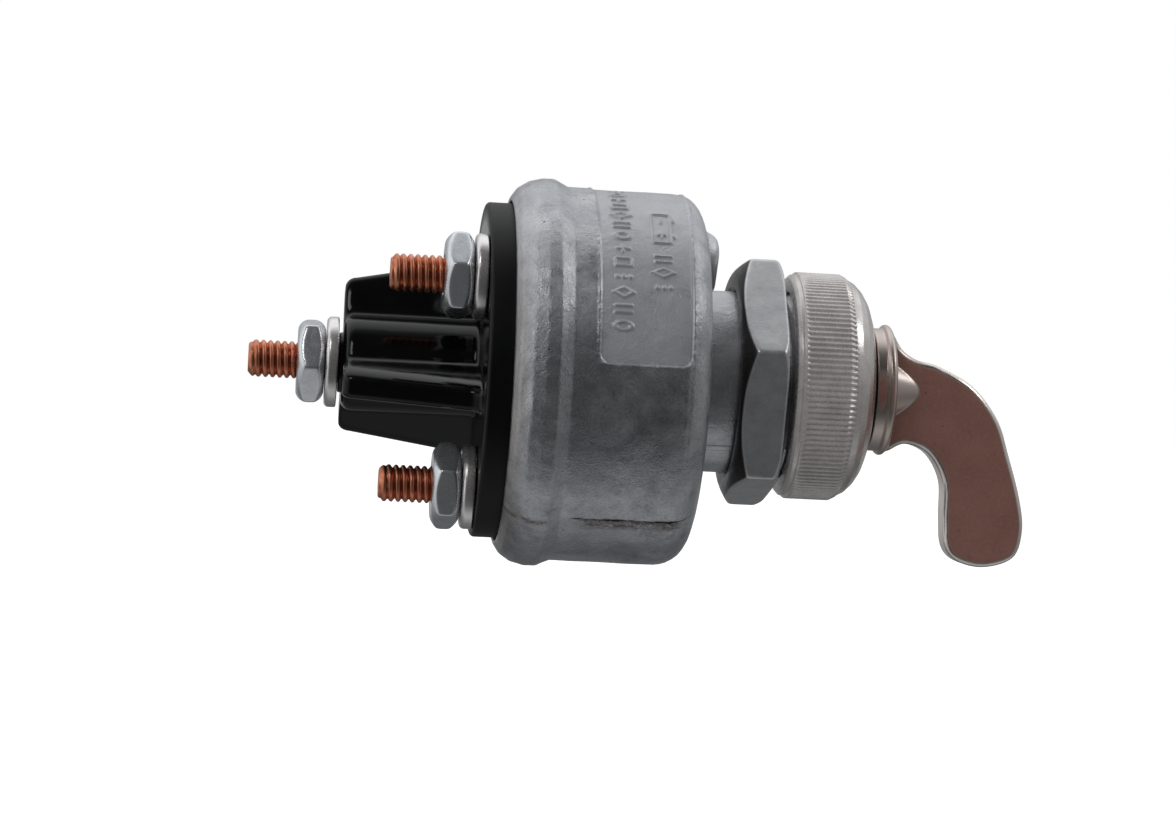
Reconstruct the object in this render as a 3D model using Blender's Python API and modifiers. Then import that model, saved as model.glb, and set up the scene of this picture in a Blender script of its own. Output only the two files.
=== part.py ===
"""Four-terminal lever switch for a boat's panel: die-cast can, moulded terminal base, nuts, lever
and the working parts inside. The switch's axis is world X: the terminals point to -X and the lever
to +X. Sizes are in millimetres; meshes are made in metres. An angle round the axis is in degrees
from -Y (the side with the label pad) towards +Z."""

import math

import bmesh
import bpy
from mathutils import Matrix, Vector

MM = 0.001
GAP = 0.3  # clearance kept where pieces fit into each other
SEAT = 0.1  # clearance kept between flat faces that lie on each other

# Driving dimensions
CAN_R = 21.1
CAN_FRONT = -9.3
CAN_EDGE_R = 3.5
CRIMP_R = 21.95
CRIMP_REAR = -30.9
CRIMP_FRONT = -26.2
LIP_FRONT = -29.3
CAVITY_R = 18.6
CAVITY_FRONT = -12.0
NECK_R = 10.3
NECK_FRONT = 9.3
SHAFT_R = 3.175
FLANGE_R = 18.9
FLANGE_REAR = -33.6
SHOULDER_R = 20.0
SHOULDER_FRONT = -27.7
BASE_INNER = -25.8
TOWER_REAR = -48.9
BOSS_REAR = -49.3
STUD_R = 2.085
BOLT_CIRCLE_R = 13.8
TERMINAL_ANGLES = {"ignition": 48.5, "start": 168.5, "accessory": -71.5}
RIB_ANGLES = (-15.5, 106.5, -132.5)
TERMINAL_NUT_AF = 8.73
JAM_NUT_AF = 25.4
JAM_NUT_REAR = -5.16
FACE_NUT_R = 12.9
FACE_NUT_REAR = 1.1
FACE_NUT_FRONT = 10.7
HUB_REAR = FACE_NUT_FRONT + GAP
LEVER_THICK = 4.0
DETENT_TURNS = (-35, 0, 35, 70)  # accessory, off, ignition, start
BALL_ANGLES = {"a": 40, "b": 220}
BALL_R = 1.2
BALL_PITCH_R = 15.1
BALL_X = -18.9
ROTOR_R = 15.0
ROTOR_FRONT = -16.6
ROTOR_REAR = -21.2
PIN_X = -15.7
PIN_R = 0.5
STOP_START, STOP_END = 144, 156
PEG_ANGLES = (57.5, 237.5)
PEG_R = 8.0
BRIDGE_REAR = -22.9
STEPS = 48

# The pieces, and the shapes that only cut them or join them
PARTS = "battery_switch"
CUTTERS = "cutters"


def clear_scene():
    for obj in list(bpy.data.objects):
        bpy.data.objects.remove(obj, do_unlink=True)


def collection(name, hidden=False):
    made = bpy.data.collections.new(name)
    made.hide_render = hidden
    bpy.context.scene.collection.children.link(made)
    return made


def material(name, color, metallic, roughness):
    """A plain finish: base colour, how metallic it is and how rough."""
    made = bpy.data.materials.new(name)
    made.use_nodes = True
    shader = made.node_tree.nodes["Principled BSDF"]
    shader.inputs["Base Color"].default_value = (*color, 1)
    shader.inputs["Metallic"].default_value = metallic
    shader.inputs["Roughness"].default_value = roughness
    made.diffuse_color = (*color, 1)
    return made


def across(r, angle):
    """The Y and Z of a point at radius r and an angle round the axis."""
    turn = math.radians(angle)
    return -r * math.cos(turn), r * math.sin(turn)


def spot(x, r=0.0, angle=0.0):
    """A point in metres from its place along the axis, radius and angle round it."""
    return Vector((x, *across(r, angle))) * MM


def add(name, mesh, finish=None):
    """Link a new object: a piece when it has a finish, a hidden helper when it has none."""
    obj = bpy.data.objects.new(name, mesh)
    if finish:
        mesh.materials.append(finish)
        bpy.data.collections[PARTS].objects.link(obj)
    else:
        obj.hide_render = True
        obj.display_type = "WIRE"
        bpy.data.collections[CUTTERS].objects.link(obj)
    return obj


def turned(name, profile, finish=None, centre=(0, 0, 0), steps=STEPS, ring=False):
    """A turned solid. The profile is (radius, place along the axis) from front to rear on the outer
    side; a ring's goes on, up its bore. The axis is X through centre."""
    count = len(profile)
    mesh = bpy.data.meshes.new(name)
    points = [(r * MM, 0, x * MM) for r, x in profile]
    edges = [(i, i + 1) for i in range(count - 1)]
    mesh.from_pydata(points, edges + [(count - 1, 0)] * ring, [])
    obj = add(name, mesh, finish)
    obj.rotation_euler = (0, math.pi / 2, 0)
    obj.location = centre
    screw = obj.modifiers.new("Turn", "SCREW")
    screw.steps = steps
    screw.render_steps = steps
    screw.use_merge_vertices = True
    screw.merge_threshold = 0.00001
    screw.use_smooth_shade = True
    return obj


def prism(name, outline, front, rear, finish=None):
    """A flat outline of (Y, Z) points, from its front face back along the axis."""
    mesh = bpy.data.meshes.new(name)
    points = [(front * MM, y * MM, z * MM) for y, z in outline]
    mesh.from_pydata(points, [], [range(len(points))])
    if mesh.polygons[0].normal.x < 0:
        mesh.flip_normals()
    obj = add(name, mesh, finish)
    solid = obj.modifiers.new("Thickness", "SOLIDIFY")
    solid.thickness = (front - rear) * MM
    solid.offset = -1
    return obj


def rod(name, start, end, radius, finish=None, steps=24):
    """A plain round rod between two points in metres."""
    mesh = bpy.data.meshes.new(name)
    shape = bmesh.new()
    length = (end - start).length
    bmesh.ops.create_cone(
        shape,
        cap_ends=True,
        segments=steps,
        radius1=radius * MM,
        radius2=radius * MM,
        depth=length,
    )
    shape.to_mesh(mesh)
    shape.free()
    obj = add(name, mesh, finish)
    obj.rotation_mode = "QUATERNION"
    obj.rotation_quaternion = (end - start).to_track_quat("Z", "Y")
    obj.location = (start + end) / 2
    return obj


def wire(name, points, radius, finish, closed=False):
    """A round wire along points in metres."""
    curve = bpy.data.curves.new(name, "CURVE")
    curve.dimensions = "3D"
    curve.bevel_depth = radius * MM
    curve.bevel_resolution = 2
    curve.use_fill_caps = True
    curve.materials.append(finish)
    spline = curve.splines.new("POLY")
    spline.points.add(len(points) - 1)
    spline.use_cyclic_u = closed
    for point, place in zip(spline.points, points):
        point.co = (*place, 1)
    obj = bpy.data.objects.new(name, curve)
    bpy.data.collections[PARTS].objects.link(obj)
    return obj


def boolean(obj, other, operation="DIFFERENCE"):
    modifier = obj.modifiers.new(f"{operation.title()} {other.name}", "BOOLEAN")
    modifier.operation = operation
    modifier.object = other


def bevel(obj, width, segments=2, angle=40):
    modifier = obj.modifiers.new("Rounded edges", "BEVEL")
    modifier.width = width * MM
    modifier.segments = segments
    modifier.limit_method = "ANGLE"
    modifier.angle_limit = math.radians(angle)


def arc(r, start, end, step=6.0):
    """(Y, Z) points at radius r from one angle to the next round the axis."""
    count = max(1, round(abs(end - start) / step))
    return [across(r, start + (end - start) * i / count) for i in range(count + 1)]


def band(inner_r, outer_r, start, end):
    """The outline of part of a ring, between two radii and two angles."""
    return arc(outer_r, start, end) + arc(inner_r, end, start)


def corner(centre_r, centre_x, radius, start, end, count=4):
    """Profile points round a corner, from one direction to the next: 0 is outward, 90 is forward."""
    turns = [math.radians(start + (end - start) * i / count) for i in range(count + 1)]
    return [(centre_r + radius * math.cos(t), centre_x + radius * math.sin(t)) for t in turns]


def hexagon(across_flats, first_corner):
    corner_r = across_flats / 2 / math.cos(math.radians(30))
    return [across(corner_r, first_corner + 60 * i) for i in range(6)]


def helix(front, rear, radius, turns, start=0.0, per_turn=12):
    """Points in metres along a coil round the axis."""
    count = round(turns * per_turn)
    return [
        spot(front + (rear - front) * i / count, radius, start + 360 * turns * i / count)
        for i in range(count + 1)
    ]


def chamfered_nut(name, across_flats, first_corner, ends, bore, finish, centre=(0, 0, 0), faces=(0.9, 0.9)):
    """A hexagon nut: a hexagonal bar trimmed by a turned blank with 30 degree chamfers. Each flat face
    of it reaches out to its share of half the width across flats."""
    front, rear = ends
    corner_r = across_flats / 2 / math.cos(math.radians(30))
    front_r, rear_r = (across_flats / 2 * share for share in faces)
    slope = math.tan(math.radians(30))
    outer_r = corner_r + GAP
    nut = prism(name, hexagon(across_flats, first_corner), front, rear, finish)
    nut.location = centre
    outer = [(front_r, front), (outer_r, front - (outer_r - front_r) * slope)]
    outer += [(outer_r, rear + (outer_r - rear_r) * slope), (rear_r, rear)]
    blank = outer + [(bore, rear), (bore, front)]
    steps = 36 if across_flats > 20 else 24
    boolean(nut, turned(f"{name}_blank", blank, centre=centre, steps=steps, ring=True), "INTERSECT")
    return nut


def make_housing(finish):
    """Can, threaded neck and rear rim in one die casting, the rim rolled over the base's shoulder."""
    step_x = SHOULDER_FRONT + 1.4
    profile = [(NECK_R - 0.6, NECK_FRONT), (NECK_R, NECK_FRONT - 0.6), (NECK_R, CAN_FRONT + 0.5)]
    profile += [(NECK_R + 0.5, CAN_FRONT)]
    profile += corner(CAN_R - CAN_EDGE_R, CAN_FRONT - CAN_EDGE_R, CAN_EDGE_R, 90, 0)
    profile += [(CAN_R, CRIMP_FRONT + 1.6), (CAN_R + 0.35, CRIMP_FRONT + 0.7), (CRIMP_R, CRIMP_FRONT)]
    # The rim's rolled shoulder, from its crown in to the lip that holds the base
    profile += [(CRIMP_R, -27.4), (21.65, -28.8), (20.95, -29.95), (20.0, -30.65), (19.6, CRIMP_REAR)]
    profile += [(FLANGE_R + GAP, CRIMP_REAR), (FLANGE_R + GAP, LIP_FRONT)]
    profile += [(SHOULDER_R + GAP, LIP_FRONT), (SHOULDER_R + GAP, step_x), (CAVITY_R, step_x)]
    profile += [(CAVITY_R, CAVITY_FRONT), (SHAFT_R + GAP, CAVITY_FRONT), (SHAFT_R + GAP, NECK_FRONT)]
    housing = turned("housing", profile, finish, ring=True)
    pad = prism("pad_recess", band(CAN_R - 0.2, CAN_R + 2, 4.5, 100), -11.8, -21.8)
    boolean(housing, pad)
    lug_outline = band(NECK_R + 1.5, CAN_R - CAN_EDGE_R, 56, 67)
    lug = prism("front_lug", lug_outline, CAN_FRONT + 1.3, CAN_FRONT - 0.5)
    bevel(lug, 0.5)
    boolean(housing, lug, "UNION")


def make_terminal_base(finish):
    """Moulded base: a flange, a shoulder that the can's rim holds, and a tower with three ribs."""
    shoulder_rear = LIP_FRONT + GAP
    profile = [(0, BASE_INNER), (CAVITY_R - GAP, BASE_INNER), (CAVITY_R - GAP, SHOULDER_FRONT)]
    profile += [(SHOULDER_R, SHOULDER_FRONT), (SHOULDER_R, shoulder_rear), (FLANGE_R, shoulder_rear)]
    profile += [(FLANGE_R, FLANGE_REAR + 0.6), (FLANGE_R - 0.6, FLANGE_REAR), (6.6, FLANGE_REAR)]
    profile += [(5.6, FLANGE_REAR - 1.0), (5.4, TOWER_REAR), (3.4, TOWER_REAR), (3.3, BOSS_REAR)]
    profile += [(0, BOSS_REAR)]
    base = turned("terminal_base", profile, finish)
    for number, angle in enumerate(RIB_ANGLES, 1):
        boolean(base, make_rib(f"rib_{number}", angle), "UNION")
    for name, angle in {"battery": None, **TERMINAL_ANGLES}.items():
        r = 0 if angle is None else BOLT_CIRCLE_R
        ends = [spot(x, r, angle or 0) for x in (BOSS_REAR - 1, BASE_INNER + 1)]
        boolean(base, rod(f"{name}_stud_hole", *ends, STUD_R + GAP))


def make_rib(name, angle):
    """One rib of the tower: 4 wide, its outer edge leaning in towards the rear."""
    half_width, root_r, tip_r = 2.0, 12.8, 9.6
    front = FLANGE_REAR + 1.0
    mesh = bpy.data.meshes.new(name)
    shape = bmesh.new()
    bmesh.ops.create_cube(shape, size=1)
    for vertex in shape.verts:
        at_front = vertex.co.x > 0
        outer = root_r if at_front else tip_r
        x = front if at_front else TOWER_REAR
        r = outer if vertex.co.y > 0 else 1.0
        side = half_width if vertex.co.z > 0 else -half_width
        vertex.co = Vector((x, r, side)) * MM
    shape.to_mesh(mesh)
    shape.free()
    rib = add(name, mesh)
    # Local +Y points outward, so it is turned to the rib's angle round the axis
    rib.rotation_euler = (math.radians(180 - angle), 0, 0)
    bevel(rib, 1.2, segments=3)
    return rib


def make_terminals(copper, silver, zinc, washer_steel):
    """Each terminal's copper stud, its silver contact inside, its washer and its nut."""
    corners = {"battery": 52.5, "ignition": 14, "accessory": 21.5, "start": 38}
    for name, angle in {"battery": None, **TERMINAL_ANGLES}.items():
        on_tower = angle is None
        r = 0 if on_tower else BOLT_CIRCLE_R
        centre = spot(0, r, angle or 0)
        seat = (BOSS_REAR if on_tower else FLANGE_REAR) - SEAT
        washer_rear = seat - (1.35 if on_tower else 1.4)
        nut_rear = washer_rear - SEAT - (3.1 if on_tower else 3.2)
        tip = -59.4 if on_tower else -44.3
        washer_r = 5.1 if on_tower else 4.75
        head = BASE_INNER + GAP
        stud = [(0, head + 1.2), (3.6, head + 1.2), (3.6, head), (STUD_R, head)]
        stud += [(STUD_R, tip + 0.5), (STUD_R - 0.5, tip), (0, tip)]
        turned(f"stud_{name}", stud, copper, centre, steps=24)
        face = head + 1.2 + GAP
        button = [(0, face + 0.8), (2.0, face + 0.8), (2.4, face + 0.5), (2.4, face), (0, face)]
        turned(f"contact_{name}", button, silver, centre, steps=16)
        bore = STUD_R + GAP
        washer = [(washer_r, seat), (washer_r, washer_rear), (bore, washer_rear), (bore, seat)]
        turned(f"washer_{name}", washer, washer_steel, centre, steps=24, ring=True)
        nut_front = washer_rear - SEAT
        nut_size = (TERMINAL_NUT_AF, corners[name], (nut_front, nut_rear), bore)
        chamfered_nut(f"nut_{name}", *nut_size, zinc, centre)


def make_base_gasket(rubber):
    """Rubber ring between the base's shoulder and the step inside the can."""
    rear = SHOULDER_FRONT + GAP
    inner = CAVITY_R + GAP
    profile = [(SHOULDER_R, rear + 0.8), (SHOULDER_R, rear), (inner, rear), (inner, rear + 0.8)]
    turned("base_gasket", profile, rubber, steps=32, ring=True)


def make_panel_nuts(zinc, nickel):
    """The hexagonal jam nut behind the panel and the knurled, domed nut in front of it."""
    bore = NECK_R + GAP
    chamfered_nut("jam_nut", JAM_NUT_AF, 14.6, (0, JAM_NUT_REAR), bore, zinc, faces=(1.1, 0.965))
    rear, ledge = FACE_NUT_REAR, NECK_FRONT + GAP
    dome = [(7.3, FACE_NUT_FRONT), (8.8, 10.4), (10.2, 9.9), (11.2, 9.3), (12.0, 8.5), (12.5, 7.6)]
    skirt = [(FACE_NUT_R, 7.0), (FACE_NUT_R, rear + 0.8), (FACE_NUT_R - 0.7, rear)]
    inside = [(bore, rear), (bore, ledge), (5.5, ledge), (5.5, FACE_NUT_FRONT)]
    turned("face_nut", dome + skirt + inside, nickel, steps=40, ring=True)


def make_lever(nickel):
    """Flat hooked lever with a round hub, cast in one piece and bored for the shaft's spigot."""
    outline = [(12.7, 6.5), (13.5, 6.5), (14.6, 4.6), (16.4, 3.6), (18.9, 3.0), (22.95, 0.9)]
    outline += [(26.0, -2.7), (27.6, -6.9), (29.1, -11.7), (29.65, -15.3), (28.7, -18.4)]
    outline += [(25.4, -19.65), (22.2, -19.1), (20.65, -17.4), (20.25, -14.0), (20.0, -10.0)]
    outline += [(18.2, -7.0), (15.5, -6.0), (13.5, -6.9), (12.7, -6.9)]
    curve = bpy.data.curves.new("lever_outline", "CURVE")
    curve.dimensions = "2D"
    curve.fill_mode = "BOTH"
    curve.extrude = LEVER_THICK / 2 * MM
    curve.resolution_u = 3
    spline = curve.splines.new("BEZIER")
    spline.bezier_points.add(len(outline) - 1)
    spline.use_cyclic_u = True
    at_hub = (0, 1, len(outline) - 2, len(outline) - 1)
    for number, (point, (x, z)) in enumerate(zip(spline.bezier_points, outline)):
        point.co = (x * MM, z * MM, 0)
        kind = "VECTOR" if number in at_hub else "AUTO"
        point.handle_left_type = kind
        point.handle_right_type = kind
    guide = bpy.data.objects.new("lever_outline", curve)
    bpy.data.collections[CUTTERS].objects.link(guide)
    graph = bpy.context.evaluated_depsgraph_get()
    mesh = bpy.data.meshes.new_from_object(guide.evaluated_get(graph))
    bpy.data.objects.remove(guide)
    shape = bmesh.new()
    shape.from_mesh(mesh)
    bmesh.ops.remove_doubles(shape, verts=shape.verts, dist=0.00001)
    bmesh.ops.transform(shape, matrix=Matrix.Rotation(math.pi / 2, 4, "X"), verts=shape.verts)
    bmesh.ops.recalc_face_normals(shape, faces=shape.faces)
    shape.to_mesh(mesh)
    shape.free()
    mesh.name = "lever"
    lever = add("lever", mesh, nickel)
    bevel(lever, 0.6)
    hub = [(0, 16.75), (1.85, 16.7), (3.4, 13.3), (6.8, 13.3), (7.45, 12.9), (7.45, 12.3)]
    hub += [(7.0, 11.9), (7.0, HUB_REAR), (0, HUB_REAR)]
    boolean(lever, turned("lever_hub", hub), "UNION")
    boolean(lever, rod("spigot_hole", spot(HUB_REAR - 0.5), spot(13.0), 2.5))


def make_shaft(steel, rubber, brass, spring_steel):
    """Steel shaft with a thrust shoulder, its seal, thrust washer, drive pin and retaining clip."""
    groove_r, seal_r = 2.0, 0.6
    seal_x = 5.8
    step_x = HUB_REAR - SEAT
    profile = [(0, 12.7), (2.2, 12.7), (2.2, step_x), (SHAFT_R, step_x), (SHAFT_R, seal_x + 0.8)]
    profile += [(groove_r, seal_x + 0.8), (groove_r, seal_x - 0.8), (SHAFT_R, seal_x - 0.8)]
    profile += [(SHAFT_R, -13.3), (6.0, -13.3), (6.0, -14.5), (SHAFT_R, -14.5), (SHAFT_R, -18.7)]
    profile += [(2.2, -18.7), (2.2, -19.5), (SHAFT_R, -19.5), (SHAFT_R, -19.9), (0, -19.9)]
    shaft = turned("lever_shaft", profile, steel, steps=24)
    pin_ends = [spot(PIN_X, 6.4, angle) for angle in (90, -90)]
    boolean(shaft, rod("shaft_pin_hole", *pin_ends, PIN_R + GAP / 2, steps=16))
    rod("rotor_pin", *pin_ends, PIN_R, spring_steel, steps=16)
    ring = [spot(seal_x, (groove_r + SHAFT_R + GAP) / 2, 18 * i) for i in range(20)]
    wire("shaft_seal", ring, seal_r, rubber, closed=True)
    washer_r, bore = 7.2, SHAFT_R + GAP
    front = CAVITY_FRONT - GAP
    washer = [(washer_r, front), (washer_r, front - 0.7), (bore, front - 0.7), (bore, front)]
    turned("thrust_washer", washer, brass, steps=24, ring=True)
    # The clip is a flat C that slips into the shaft's rear groove from the side
    clip = band(2.2 + 0.15, 4.0, -60, 240)
    prism("shaft_clip", clip, -18.85, -19.35, spring_steel)


def make_rotor(phenolic):
    """Moulded rotor: it carries the detent balls, drives the contact bridge and meets the stops."""
    pocket_r = 5.7
    profile = [(7.0, -14.8), (7.0, ROTOR_FRONT), (ROTOR_R, ROTOR_FRONT), (ROTOR_R, ROTOR_REAR)]
    profile += [(pocket_r, ROTOR_REAR), (pocket_r, -18.5)]
    profile += [(SHAFT_R + GAP, -18.5), (SHAFT_R + GAP, -14.8)]
    rotor = turned("rotor", profile, phenolic, steps=36, ring=True)
    # The stop tooth of the detent ring runs in this recess, which ends at the two limits
    slack = 1.5
    recess_start = STOP_START - DETENT_TURNS[-1] - slack
    recess_end = STOP_END - DETENT_TURNS[0] + slack
    recess = band(13.7, ROTOR_R + 1, recess_start, recess_end)
    boolean(rotor, prism("stop_recess", recess, ROTOR_FRONT + 1, ROTOR_REAR - 1))
    for name, angle in BALL_ANGLES.items():
        ends = [spot(BALL_X, r, angle) for r in (9.7, ROTOR_R + 1)]
        boolean(rotor, rod(f"ball_{name}_bore", *ends, BALL_R + GAP))
    bore_ends = [spot(PIN_X, 8, angle) for angle in (90, -90)]
    boolean(rotor, rod("rotor_pin_bore", *bore_ends, PIN_R + GAP / 2, steps=16))
    for number, angle in enumerate(PEG_ANGLES, 1):
        peg = rod(f"peg_{number}", spot(ROTOR_REAR + 0.5, PEG_R, angle), spot(-23.4, PEG_R, angle), 1.1)
        boolean(rotor, peg, "UNION")


def make_detents(steel, spring_steel):
    """Notched ring fixed in the can, with the rotor's two sprung balls and their springs."""
    front, rear = BALL_X + 1.4, BALL_X - 1.4
    outer, inner = CAVITY_R - GAP, BALL_PITCH_R + BALL_R + GAP
    profile = [(outer, front), (outer, rear), (inner, rear), (inner, front)]
    ring = turned("detent_ring", profile, steel, ring=True)
    for name, angle in BALL_ANGLES.items():
        for number, turn in enumerate(DETENT_TURNS, 1):
            ends = [spot(x, BALL_PITCH_R + 0.8, angle + turn) for x in (front + 1, rear - 1)]
            boolean(ring, rod(f"notch_{name}_{number}", *ends, BALL_R + 0.4, steps=20))
    tooth = prism("stop_tooth", band(14.0, inner + 0.5, STOP_START, STOP_END), front - 0.4, rear + 0.4)
    boolean(ring, tooth, "UNION")
    for name, angle in BALL_ANGLES.items():
        mesh = bpy.data.meshes.new(f"detent_ball_{name}")
        shape = bmesh.new()
        bmesh.ops.create_uvsphere(shape, u_segments=12, v_segments=8, radius=BALL_R * MM)
        shape.to_mesh(mesh)
        shape.free()
        mesh.shade_smooth()
        ball = add(f"detent_ball_{name}", mesh, steel)
        ball.location = spot(BALL_X, BALL_PITCH_R, angle)
        turns, per_turn, coil_r = 3, 9, 0.9
        outward = Vector((0, *across(1, angle)))
        aside = Vector((1, 0, 0)).cross(outward)
        points = []
        for i in range(turns * per_turn + 1):
            turn = 2 * math.pi * i / per_turn
            middle = spot(BALL_X, 10.3 + 3.1 * i / (turns * per_turn), angle)
            across_coil = Vector((math.cos(turn), 0, 0)) + math.sin(turn) * aside
            points.append(middle + across_coil * coil_r * MM)
        wire(f"detent_spring_{name}", points, 0.2, spring_steel)


def make_bridge(copper, spring_steel):
    """Copper contact bridge with three arms, pressed on the contacts by its own spring."""
    hub_r, arm_r = 9.6, 15.6
    arms = ((-116, -97), (-46, 20), (95, 105))
    outline = []
    for number, (start, end) in enumerate(arms):
        following = arms[(number + 1) % len(arms)][0] + 360 * (number == len(arms) - 1)
        outline += arc(arm_r, start, end) + arc(hub_r, end, following)
    front, lift = BRIDGE_REAR + 0.8, 0.6
    bridge = prism("contact_bridge", outline, front, BRIDGE_REAR, copper)
    for number, angle in enumerate(PEG_ANGLES, 1):
        ends = [spot(x, PEG_R, angle) for x in (front + 1, BRIDGE_REAR - 1)]
        boolean(bridge, rod(f"peg_hole_{number}", *ends, 1.1 + GAP, steps=20))
    # The coil stops short of the bridge by the bridge's lift, because it doesn't shorten here
    coil_r, wire_r = 4.9, 0.35
    spring = helix(-18.5 - wire_r - GAP, front + lift + wire_r + SEAT, coil_r, 2)
    wire("bridge_spring", spring, wire_r, spring_steel)


def make_return_spring(spring_steel):
    """Torsion spring round the rotor's hub that turns the lever back from start to ignition."""
    radius, front, rear, start, turns = 8.4, -13.3, -15.8, 120, 2.25
    coil = helix(front, rear, radius, turns, start)
    fixed_tail = [spot(front, r, start) for r in (12.5, 10.5)]
    moving_tail = [spot(rear, r, start + 360 * turns) for r in (10.5, 12.5)]
    wire("return_spring", fixed_tail + coil + moving_tail, 0.5, spring_steel)


def main():
    clear_scene()
    collection(PARTS)
    collection(CUTTERS, hidden=True)
    zinc_casting = material("zinc_casting", (0.36, 0.38, 0.40), 0.9, 0.45)
    phenolic = material("black_phenolic", (0.012, 0.012, 0.013), 0.0, 0.22)
    copper = material("copper", (0.72, 0.36, 0.22), 1.0, 0.32)
    silver = material("silver_contact", (0.86, 0.85, 0.82), 1.0, 0.25)
    zinc = material("zinc_plate", (0.60, 0.63, 0.66), 1.0, 0.28)
    washer_steel = material("washer_steel", (0.70, 0.68, 0.66), 1.0, 0.35)
    nickel = material("nickel_plate", (0.60, 0.56, 0.52), 1.0, 0.22)
    rubber = material("black_rubber", (0.02, 0.02, 0.02), 0.0, 0.75)
    steel = material("hardened_steel", (0.55, 0.56, 0.58), 1.0, 0.30)
    brass = material("brass", (0.78, 0.60, 0.30), 1.0, 0.32)
    spring_steel = material("spring_steel", (0.38, 0.39, 0.42), 1.0, 0.30)

    make_housing(zinc_casting)
    make_terminal_base(phenolic)
    make_base_gasket(rubber)
    make_terminals(copper, silver, zinc, washer_steel)
    make_panel_nuts(zinc, nickel)
    make_lever(nickel)
    make_shaft(steel, rubber, brass, spring_steel)
    make_rotor(phenolic)
    make_detents(steel, spring_steel)
    make_bridge(copper, spring_steel)
    make_return_spring(spring_steel)


main()
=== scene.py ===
"""Lever-operated battery switch: the finished look of each piece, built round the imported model.
Lengths are in millimetres until a mesh is made. X runs along the switch's axis to the lever, and an
angle round the axis is counted from -Y towards +Z."""

import math

import bmesh
import bpy
import numpy as np
from mathutils import Matrix, Vector


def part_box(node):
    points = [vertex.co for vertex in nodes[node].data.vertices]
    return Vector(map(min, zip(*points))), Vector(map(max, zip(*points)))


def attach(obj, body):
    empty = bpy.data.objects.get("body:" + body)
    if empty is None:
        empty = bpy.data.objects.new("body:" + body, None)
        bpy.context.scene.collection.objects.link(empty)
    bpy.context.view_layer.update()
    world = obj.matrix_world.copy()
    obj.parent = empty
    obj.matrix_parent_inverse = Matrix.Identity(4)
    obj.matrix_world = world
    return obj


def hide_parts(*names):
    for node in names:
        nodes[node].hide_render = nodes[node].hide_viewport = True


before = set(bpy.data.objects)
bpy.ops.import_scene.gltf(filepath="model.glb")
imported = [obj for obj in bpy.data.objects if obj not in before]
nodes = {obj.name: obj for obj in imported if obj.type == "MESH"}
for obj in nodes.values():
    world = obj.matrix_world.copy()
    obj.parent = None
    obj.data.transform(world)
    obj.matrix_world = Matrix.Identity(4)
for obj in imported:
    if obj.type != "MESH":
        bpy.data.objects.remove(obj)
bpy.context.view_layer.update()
MM = 0.001


# Camera, floor and light: a small product studio. The switch hangs by its neck above a pale floor, as
# it would on a thread, with a bright ceiling, a pale wall behind and a dark room in front of it.
camera_data = bpy.data.cameras.new("camera")
camera_data.lens = 102.9
camera_data.sensor_width = 36
camera_data.clip_start = 0.01
camera = bpy.data.objects.new("camera", camera_data)
bpy.context.scene.collection.objects.link(camera)
aim = Vector((-20.8, 0, -4.65)) * MM
distance = 381
swing, rise, lean = 0.095, 0.026, math.radians(3.0)
look_from = Vector((
    -math.sin(swing) * math.cos(rise),
    -math.cos(swing) * math.cos(rise),
    math.sin(rise),
))
camera.location = aim + look_from * distance * MM
level = (aim - camera.location).to_track_quat("-Z", "Y").to_matrix().to_4x4()
camera.rotation_euler = (level @ Matrix.Rotation(lean, 4, "Z")).to_euler()
bpy.context.scene.camera = camera
bpy.context.scene.view_settings.view_transform = "Standard"

floor_mesh = bpy.data.meshes.new("floor")
floor_shape = bmesh.new()
bmesh.ops.create_grid(floor_shape, x_segments=2, y_segments=2, size=3)
floor_shape.to_mesh(floor_mesh)
floor_shape.free()
floor = bpy.data.objects.new("floor", floor_mesh)
floor.location.z = -0.085
floor.visible_glossy = False
floor.visible_diffuse = False
bpy.context.scene.collection.objects.link(floor)
floor_paint = bpy.data.materials.new("pale_floor")
floor_paint.use_nodes = True
paint = floor_paint.node_tree.nodes["Principled BSDF"].inputs
paint["Base Color"].default_value = (0.9, 0.9, 0.9, 1)
paint["Roughness"].default_value = 0.9
paint["Emission Color"].default_value = (1, 1, 1, 1)
paint["Emission Strength"].default_value = 0.75
floor_mesh.materials.append(floor_paint)

studio = bpy.data.worlds.new("studio")
bpy.context.scene.world = studio
studio.use_nodes = True
sky = studio.node_tree
sky.nodes.clear()
direction = sky.nodes.new("ShaderNodeTexCoord")
split = sky.nodes.new("ShaderNodeSeparateXYZ")
sky.links.new(direction.outputs["Generated"], split.inputs[0])
toward_front = sky.nodes.new("ShaderNodeMath")
toward_front.operation = "MULTIPLY"
toward_front.inputs[1].default_value = -1
sky.links.new(split.outputs["Y"], toward_front.inputs[0])
turn = sky.nodes.new("ShaderNodeMath")
turn.operation = "ARCTAN2"
sky.links.new(split.outputs["Z"], turn.inputs[0])
sky.links.new(toward_front.outputs[0], turn.inputs[1])
share = sky.nodes.new("ShaderNodeMapRange")
share.inputs["From Min"].default_value = -math.pi
share.inputs["From Max"].default_value = math.pi
sky.links.new(turn.outputs[0], share.inputs["Value"])
walls = sky.nodes.new("ShaderNodeValToRGB")
walls.color_ramp.interpolation = "EASE"
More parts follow.
